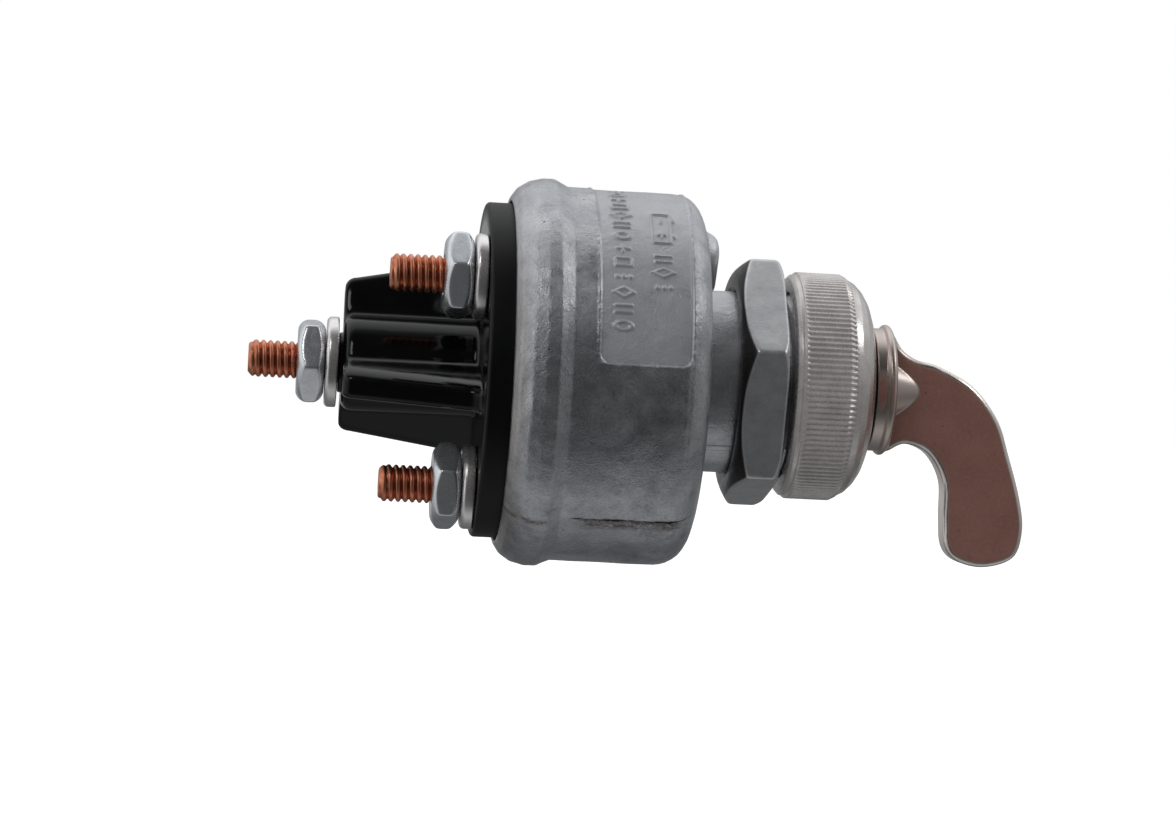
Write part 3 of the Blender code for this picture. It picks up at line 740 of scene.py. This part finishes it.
def copper():
    """Bare copper, patchy with age, rubbed bright on the crests of the threads."""
    made, tree, shader = network("copper")
    where = place_in_mm(tree)
    patch = spread(tree, cloud(tree, where, 1.2, 6, 0.65), 0.3, 0.72, 0, 1)
    base = blend(tree, patch, (0.74, 0.26, 0.145), (0.46, 0.145, 0.08))
    shape = tree.nodes.new("ShaderNodeNewGeometry")
    worn = spread(tree, shape.outputs["Pointiness"], 0.49, 0.56, 0, 0.7)
    base = blend(tree, worn, base, (0.93, 0.43, 0.27))
    tree.links.new(base, shader.inputs["Base Color"])
    shader.inputs["Metallic"].default_value = 1.0
    sheen = spread(tree, cloud(tree, where, 0.6, 5), 0.3, 0.7, 0.32, 0.5)
    tree.links.new(sheen, shader.inputs["Roughness"])
    bump(tree, shader, cloud(tree, where, 0.3, 4), 0.02, 0.5)
    return made


bare_copper = copper()


def seat_of(node):
    """A turned or hexagonal node's axis, its rear and front along it, and its greatest radius."""
    low, high = (np.array(corner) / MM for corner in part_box(node))
    centre = (0, (low[1] + high[1]) / 2, (low[2] + high[2]) / 2)
    return centre, low[0], high[0], (high[2] - low[2]) / 2


def stud_mesh(name, centre, tip_x, head, on_tower, phase):
    """A headed stud from its head inside the base to its threaded tip. phase is a share of a turn of
    the thread, so that no two studs look alike."""
    neck = head - HEAD_THICK
    corners = [(0.02, head, 0), (HEAD_R, head, 0.25), (HEAD_R, neck, 0.2), (STUD_R, neck, 0.15)]
    corners += [(STUD_R, tip_x + 0.6, 0.3), (STUD_R - 0.45, tip_x, 0.35), (0.02, tip_x, 0)]
    line = spaced(rounded(corners, 5), 0.085 if on_tower else 0.075)
    first_thread = TOWER_X + 1.9 if on_tower else FLANGE_X + 0.6

    def thread_relief(r, x, angle):
        turns = x / STUD_PITCH + angle / (2 * math.pi) + phase
        tooth = np.abs((turns % 1) - 0.5) * 2
        cut = smooth_step(x, first_thread, first_thread - 1.0)
        cut = cut * smooth_step(r, STUD_R - 0.75, STUD_R - 0.2)
        depth = STUD_THREAD * smooth_step(tooth, 0.12, 1.05) ** 1.25
        depth = depth * (0.35 + 0.65 * smooth_step(x, tip_x + 0.3, tip_x + 1.5))
        return r - cut * depth, x

    return turn_mesh(name, line, 56, thread_relief, centre=centre)


for number, name in enumerate(TERMINALS):
    centre, tip_x, head, _ = seat_of(f"stud_{name}")
    mesh = stud_mesh(f"stud_{name}_threaded", centre, tip_x, head, name == "battery", 0.31 * number)
    piece(f"stud_{name}_threaded", mesh, bare_copper, "switch_body", "copper", f"stud_{name}", sharp=55)


# Washers: thick stamped steel rings, zinc plated, one under each terminal nut. Punching leaves one side
# of the ring rounded over and the other one sharper.
def plated(name, colour, shade, roughness, depth=0.012, metallic=0.9, shaded_rear=False):
    """Plated steel: fine clouding in the plate, small scuffs and a soft grain. A piece with a shaded rear
    gets painted shade, near black, on the side that faces the terminals."""
    made, tree, shader = network(name)
    where = place_in_mm(tree)
    patch = spread(tree, cloud(tree, where, 2.2, 6, 0.62), 0.32, 0.7, 0, 1)
    base = blend(tree, patch, colour, shade)
    if shaded_rear:
        # Painted shade: faces turned back along -X are painted near black
        sides = tree.nodes.new("ShaderNodeSeparateXYZ")
        shape = tree.nodes.new("ShaderNodeTexCoord")
        tree.links.new(shape.outputs["Normal"], sides.inputs[0])
        rear_shade = spread(tree, sides.outputs["X"], -0.75, -0.45, 1, 0)
        base = blend(tree, rear_shade, base, (0.045, 0.04, 0.038))
    tree.links.new(base, shader.inputs["Base Color"])
    shader.inputs["Metallic"].default_value = metallic
    low, high = roughness
    sheen = spread(tree, cloud(tree, where, 0.9, 6, 0.6), 0.3, 0.7, low, high)
    tree.links.new(sheen, shader.inputs["Roughness"])
    first = bump(tree, shader, cloud(tree, where, 0.35, 4), depth, 0.5)
    bump(tree, shader, cloud(tree, where, 1.7, 3), depth * 3, 0.35, first)
    return made


washer_plate = plated("washer_plate", (0.93, 0.90, 0.89), (0.80, 0.77, 0.76), (0.20, 0.36), metallic=0.88)
WASHER_BORE_R = 2.4
for name in TERMINALS:
    centre, rear, front, outer = seat_of(f"washer_{name}")
    corners = [(WASHER_BORE_R, front, 0), (outer, front, 0.2), (outer, rear, 0.55)]
    corners += [(WASHER_BORE_R, rear, 0.25), (WASHER_BORE_R, front, 0)]
    mesh = turn_mesh(f"washer_{name}_stamped", rounded(corners)[1:], 96, ring=True, centre=centre)
    piece(f"washer_{name}_stamped", mesh, washer_plate, "switch_body", "washer_steel", f"washer_{name}")


# Hexagon nuts: cold-formed steel, bright zinc plated. The corners are turned off at both faces, which
# leaves the curved edge on each flat, and the barrel they were plated in rounded every edge over.
def hexagon_nut(name, across_flats, first_corner, ends, bore, centre, faces, tilt, soft, round_over, around):
    """A turned blank with six flats. ends are the front and rear faces, faces the radius that stays flat
    on each as a share of the flats' radius, and soft how tightly the flats meet each other and the
    chamfers: the higher the sharper."""
    front, rear = ends
    flat_r = across_flats / 2
    front_r, rear_r = (flat_r * share for share in faces)
    growth = 1 / math.tan(math.radians(tilt))
    # A small lead-in chamfer at each mouth of the bore
    lead = 0.018 * across_flats
    middles = [math.radians(first_corner + 30 + 60 * i) for i in range(6)]
    bends = [math.radians(a) for a in (90, 67.5, 45, 22.5, 0)]
    front_edge = [(front - round_over * (1 - math.sin(b)), round_over * (1 - math.cos(b))) for b in bends]
    rear_edge = [(rear + front - x, back) for x, back in reversed(front_edge)]
    count = math.ceil((front - rear - 2 * round_over) / (round_over * 0.3))
    between = np.linspace(front - round_over, rear + round_over, count + 1)[1:-1]
    rows = front_edge + [(x, 0) for x in between] + rear_edge
    side = slice(1, 1 + len(rows))
    held_back = np.array([back for _, back in rows])[:, None]
    tight, loose = soft

    def cut_flats(r, x, angle):
        flats = sum(np.maximum(np.cos(apart(angle[side], middle)), 0) ** tight for middle in middles)
        flats = flats ** (1 / tight) / flat_r
        front_cone = front_r + (front - x[side]) * growth
        rear_cone = rear_r + (x[side] - rear) * growth
        r[side] = (flats ** loose + front_cone ** -loose + rear_cone ** -loose) ** (-1 / loose) - held_back
        return r, x

    line = [(bore + lead, front)] + [(flat_r, x) for x, _ in rows]
    line += [(bore + lead, rear), (bore, rear + lead), (bore, front - lead)]
    return turn_mesh(name, line, around, cut_flats, ring=True, centre=centre)


nut_plate = plated("bright_zinc", (0.82, 0.85, 0.88), (0.70, 0.73, 0.765), (0.16, 0.32), metallic=0.84)
NUT_FLATS, NUT_BORE_R = 8.73, 2.15
# Where one corner of each nut points, in degrees: they were tightened by feel
NUT_CORNERS = {"battery": 52.5, "ignition": 14, "accessory": 21.5, "start": 38}
for name in TERMINALS:
    _, rear, front, _ = seat_of(f"nut_{name}")
    centre = seat_of(f"stud_{name}")[0]
    mesh = hexagon_nut(
        f"nut_{name}_plated", NUT_FLATS, NUT_CORNERS[name], (front, rear), NUT_BORE_R, centre,
        faces=(0.86, 0.86), tilt=32, soft=(60, 22), round_over=0.2, around=288,
    )
    piece(f"nut_{name}_plated", mesh, nut_plate, "switch_body", "zinc_plate", f"nut_{name}", sharp=30)


# Jam nut: a thin one-inch hexagon nut on the neck that backs up the panel. It is zinc plated and dull,
# and its face that looks back at the can is painted near black as painted shade.
JAM_FLATS, JAM_BORE_R = 25.4, 10.45
jam_plate = plated(
    "jam_nut_zinc", (0.72, 0.725, 0.735), (0.56, 0.565, 0.58), (0.24, 0.38),
    depth=0.02, metallic=0.76, shaded_rear=True,
)
_, jam_rear, jam_front, _ = seat_of("jam_nut")
jam_mesh = hexagon_nut(
    "jam_nut_plated", JAM_FLATS, 14.6, (jam_front, jam_rear), JAM_BORE_R, (0, 0, 0),
    faces=(1.07, 0.965), tilt=30, soft=(110, 60), round_over=0.36, around=600,
)
piece("jam_nut_plated", jam_mesh, jam_plate, "jam_nut", "zinc_plate", "jam_nut", sharp=30)


# Face nut: turned from bar and nickel plated. Its skirt has a fine straight knurl for the fingers
# between two smooth bands, and its domed front closes the neck round the lever's hub.
KNURL_TEETH, KNURL_DEPTH = 126, 0.27


def knurl_relief(r, x, angle):
    """Teeth along the skirt, pressed into its outer face only."""
    zone = smooth_step(x, 1.95, 2.3) * smooth_step(x, 7.75, 7.5) * smooth_step(r, 12.2, 12.5)
    tooth = 0.5 + 0.5 * np.cos(angle * KNURL_TEETH)
    # The wheel pressed harder on one side than on the other
    pressed = 0.72 + 0.28 * np.sin(2 * angle + 1.9)
    return r - zone * (KNURL_DEPTH * (1 - tooth) * pressed), x


_, nut_rear, nut_front, nut_r = seat_of("face_nut")
HUB_HOLE_R, NECK_HOLE_R = 5.5, 10.6
dome = [(HUB_HOLE_R, nut_front, 0), (7.3, nut_front, 0.3), (8.8, 10.43, 1.2), (10.2, 9.93, 1.4)]
dome += [(11.2, 9.3, 1.3), (12.0, 8.5, 1.0), (12.4, 7.7, 0.1), (nut_r - 0.35, 7.6, 0.1)]
dome += [(nut_r, 6.95, 0.4), (nut_r, 2.0, 0.1), (12.62, 1.85, 0.12), (12.62, 1.5, 0.25)]
dome += [(12.2, nut_rear, 0.25), (NECK_HOLE_R, nut_rear, 0.2), (NECK_HOLE_R, 9.6, 0.2)]
dome += [(HUB_HOLE_R, 9.6, 0.1), (HUB_HOLE_R, nut_front, 0)]
face_line = spaced(rounded(dome, 6)[1:], 0.4)
face_plate = plated("satin_nickel", (0.84, 0.80, 0.78), (0.66, 0.625, 0.605), (0.20, 0.34))
# Hands have dulled the knurl; the dome keeps its polish
face_tree = face_plate.node_tree
face_x, _ = round_the_axis(face_tree)
polish = spread(face_tree, face_x, 7.4, 8.3, 0.40, 0.95)
face_tree.links.new(polish, face_tree.nodes["Principled BSDF"].inputs["Metallic"])
face_mesh = turn_mesh("face_nut_knurled", face_line, KNURL_TEETH * 8, knurl_relief, ring=True)
piece("face_nut_knurled", face_mesh, face_plate, "face_nut", "face_nut_plate", "face_nut", sharp=60)


# Lever: a flat hook and its round hub in one casting, polished and nickel plated. The hub runs out
# into the blade in a short cone, and the plate is slightly tarnished on the flat faces.
def nickel():
    """Polished nickel, tarnished brown on the blade's two flats and spotted with small pits."""
    made, tree, shader = network("tarnished_nickel")
    where = place_in_mm(tree)
    haze = spread(tree, cloud(tree, where, 5, 5, 0.6), 0.3, 0.72, 0, 1)
    spots = spread(tree, cloud(tree, where, 0.9, 7, 0.7), 0.60, 0.74, 0, 1)
    bright = blend(tree, haze, (0.93, 0.86, 0.81), (0.82, 0.735, 0.68))
    # The hub and its cone are duller than the edges that hands rub
    along, _ = round_the_axis(tree)
    on_hub = spread(tree, along, 16.7, 17.6, 1, 0)
    bright = blend(tree, on_hub, bright, (0.66, 0.575, 0.53))
    brown = blend(tree, haze, (0.47, 0.235, 0.195), (0.375, 0.185, 0.15))
    brown = blend(tree, spots, brown, (0.26, 0.13, 0.105))
    grain = spread(tree, cloud(tree, where, 0.4, 6, 0.75), 0.52, 0.72, 0, 0.6)
    brown = blend(tree, grain, brown, (0.56, 0.33, 0.285))
    brown = blend(tree, pits(tree, where, 2.7, 0.045), brown, (0.14, 0.07, 0.06))
    # The two flats are tarnished brown; the rounded edges and the hub are rubbed bright
    facing = tree.nodes.new("ShaderNodeSeparateXYZ")
    shape = tree.nodes.new("ShaderNodeTexCoord")
    tree.links.new(shape.outputs["Normal"], facing.inputs[0])
    flat = tree.nodes.new("ShaderNodeMath")
    flat.operation = "ABSOLUTE"
    tree.links.new(facing.outputs["Y"], flat.inputs[0])
    tarnish = spread(tree, flat.outputs[0], 0.93, 0.99, 0, 1)
    tree.links.new(blend(tree, tarnish, bright, brown), shader.inputs["Base Color"])
    tree.links.new(spread(tree, tarnish, 0, 1, 1.0, 0.2), shader.inputs["Metallic"])
    shine = spread(tree, cloud(tree, where, 2.0, 6, 0.6), 0.3, 0.7, 0.15, 0.28)
    tree.links.new(blend(tree, on_hub, shine, (0.33, 0.33, 0.33)), shader.inputs["Roughness"])
    first = bump(tree, shader, cloud(tree, where, 3.2, 3), 0.05, 0.3)
    bump(tree, shader, cloud(tree, where, 0.5, 4), 0.008, 0.4, first)
    return made


def smooth_loop(points, each):
    """A closed smooth line through the points; a point given with True is a sharp corner."""
    count = len(points)
    line = []
    for i in range(count):
        before, start, end, after = (np.array(points[(i + k) % count][:2], float) for k in (-1, 0, 1, 2))
        if len(points[i]) > 2:
            before = start
        if len(points[(i + 1) % count]) > 2:
            after = end
        square = 2 * before - 5 * start + 4 * end - after
        cube = 3 * start - before - 3 * end + after
        for t in np.linspace(0, 1, each, endpoint=False):
            line.append(0.5 * (2 * start + (end - before) * t + square * t ** 2 + cube * t ** 3))
    return np.array(line)


def blade_mesh(outline, half, edge, steps=5):
    """A flat plate of the outline, standing across Y, with its edges rounded."""
    along = np.roll(outline, -1, 0) - np.roll(outline, 1, 0)
    along /= np.linalg.norm(along, axis=1)[:, None]
    inward = np.stack((-along[:, 1], along[:, 0]), 1)
    area = np.sum(outline[:, 0] * np.roll(outline[:, 1], -1) - np.roll(outline[:, 0], -1) * outline[:, 1])
    inward *= math.copysign(1, area)
    bends = [math.pi / 2 * i / steps for i in range(steps + 1)]
    rings = [(edge * (1 - math.cos(b)), half - edge + edge * math.sin(b)) for b in bends]
    rings = [(inset, -depth) for inset, depth in reversed(rings)] + rings
    count = len(outline)
    points = []
    for inset, depth in rings:
        for x, z in outline + inward * inset:
            points.append((x * MM, depth * MM, z * MM))
    faces = [list(range(count)), list(range(count * (len(rings) - 1), count * len(rings)))]
    for k in range(len(rings) - 1):
        for i in range(count):
            j = (i + 1) % count
            faces.append((k * count + i, k * count + j, (k + 1) * count + j, (k + 1) * count + i))
    mesh = bpy.data.meshes.new("blade")
    mesh.from_pydata(points, [], faces)
    shape = bmesh.new()
    shape.from_mesh(mesh)
    bmesh.ops.triangulate(shape, faces=[f for f in shape.faces if len(f.verts) > 4])
    bmesh.ops.recalc_face_normals(shape, faces=shape.faces)
    shape.to_mesh(mesh)
    shape.free()
    return mesh


BLADE_HALF, BLADE_EDGE = 2.0, 0.75
MELT_SIZE = 0.14


def lever_mesh():
    """The blade and the hub melted into one casting with a soft corner between them."""
    outline = [(12.7, 6.5, True), (13.4, 6.5), (14.6, 4.7), (16.4, 3.6), (18.9, 3.0), (22.95, 0.9)]
    outline += [(26.0, -2.7), (27.6, -6.9), (29.1, -11.7), (29.62, -15.3), (28.7, -18.4)]
    outline += [(25.4, -19.65), (22.2, -19.1), (20.65, -17.4), (20.25, -14.0), (20.0, -10.0)]
    outline += [(18.2, -7.0), (15.5, -6.0), (13.5, -6.9), (12.7, -6.9, True)]
    blade = blade_mesh(smooth_loop(outline, 12), BLADE_HALF, BLADE_EDGE)
    hub = [(0.02, 17.1, 0), (1.8, 17.1, 0), (3.8, 13.3, 0.3), (6.9, 13.3, 0.3), (7.45, 12.95, 0.4)]
    hub += [(7.45, 12.4, 0.35), (7.0, 12.2, 0.15), (7.0, 11.0, 0.15), (2.5, 11.0, 0.1), (2.5, 13.0, 0.1)]
    hub += [(0.02, 13.0, 0)]
    collar = turn_mesh("collar", spaced(rounded(hub, 6), 0.5), 160)
    both = bmesh.new()
    both.from_mesh(blade)
    both.from_mesh(collar)
    both.to_mesh(blade)
    both.free()
    blade = bpy.data.objects.new("blade", blade)
    bpy.context.scene.collection.objects.link(blade)
    melt = blade.modifiers.new("Melt", "REMESH")
    melt.mode = "VOXEL"
    melt.voxel_size = MELT_SIZE * MM
    ease = blade.modifiers.new("Ease", "SMOOTH")
    ease.factor = 0.5
    ease.iterations = 2
    graph = bpy.context.evaluated_depsgraph_get()
    joined = bpy.data.meshes.new_from_object(blade.evaluated_get(graph))
    joined.name = "lever_cast"
    bpy.data.objects.remove(blade)
    return joined


piece("lever_cast", lever_mesh(), nickel(), "lever_group", "nickel_plate", "lever", sharp=60)


# Working parts in the can: shaft, rotor, detents, springs, bridge, contacts and seals. They keep their
# solids and get the finish of the real material.
def plain_finish(name, colour, shade, metallic, roughness):
    """A clean material with faint clouding, a varied gloss and a fine grain."""
    made, tree, shader = network(name)
    where = place_in_mm(tree)
    patch = spread(tree, cloud(tree, where, 2.0, 5), 0.3, 0.7, 0, 1)
    tree.links.new(blend(tree, patch, colour, shade), shader.inputs["Base Color"])
    shader.inputs["Metallic"].default_value = metallic
    low, high = roughness
    sheen = spread(tree, cloud(tree, where, 1.0, 5), 0.3, 0.7, low, high)
    tree.links.new(sheen, shader.inputs["Roughness"])
    bump(tree, shader, cloud(tree, where, 0.3, 4), 0.01, 0.5)
    return made


INNER = (
    (plain_finish("silver_contact", (0.90, 0.89, 0.86), (0.74, 0.72, 0.68), 1.0, (0.2, 0.36)),
     [f"contact_{name}" for name in TERMINALS]),
    (bare_copper, ["contact_bridge"]),
    (phenolic, ["rotor"]),
    (plain_finish("black_rubber", (0.018, 0.018, 0.018), (0.03, 0.03, 0.03), 0.0, (0.6, 0.85)),
     ["base_gasket", "shaft_seal"]),
    (plain_finish("ground_steel", (0.58, 0.59, 0.61), (0.48, 0.49, 0.51), 1.0, (0.2, 0.36)),
     ["lever_shaft", "detent_ring", "detent_ball_a", "detent_ball_b"]),
    (plain_finish("brass", (0.80, 0.62, 0.32), (0.66, 0.48, 0.24), 1.0, (0.24, 0.4)),
     ["thrust_washer"]),
    (plain_finish("spring_steel", (0.42, 0.43, 0.46), (0.32, 0.33, 0.36), 1.0, (0.22, 0.38)),
     ["return_spring", "bridge_spring", "detent_spring_a", "detent_spring_b", "rotor_pin", "shaft_clip"]),
)
for finish, names in INNER:
    for name in names:
        for holder in nodes[name].material_slots:
            holder.material = finish
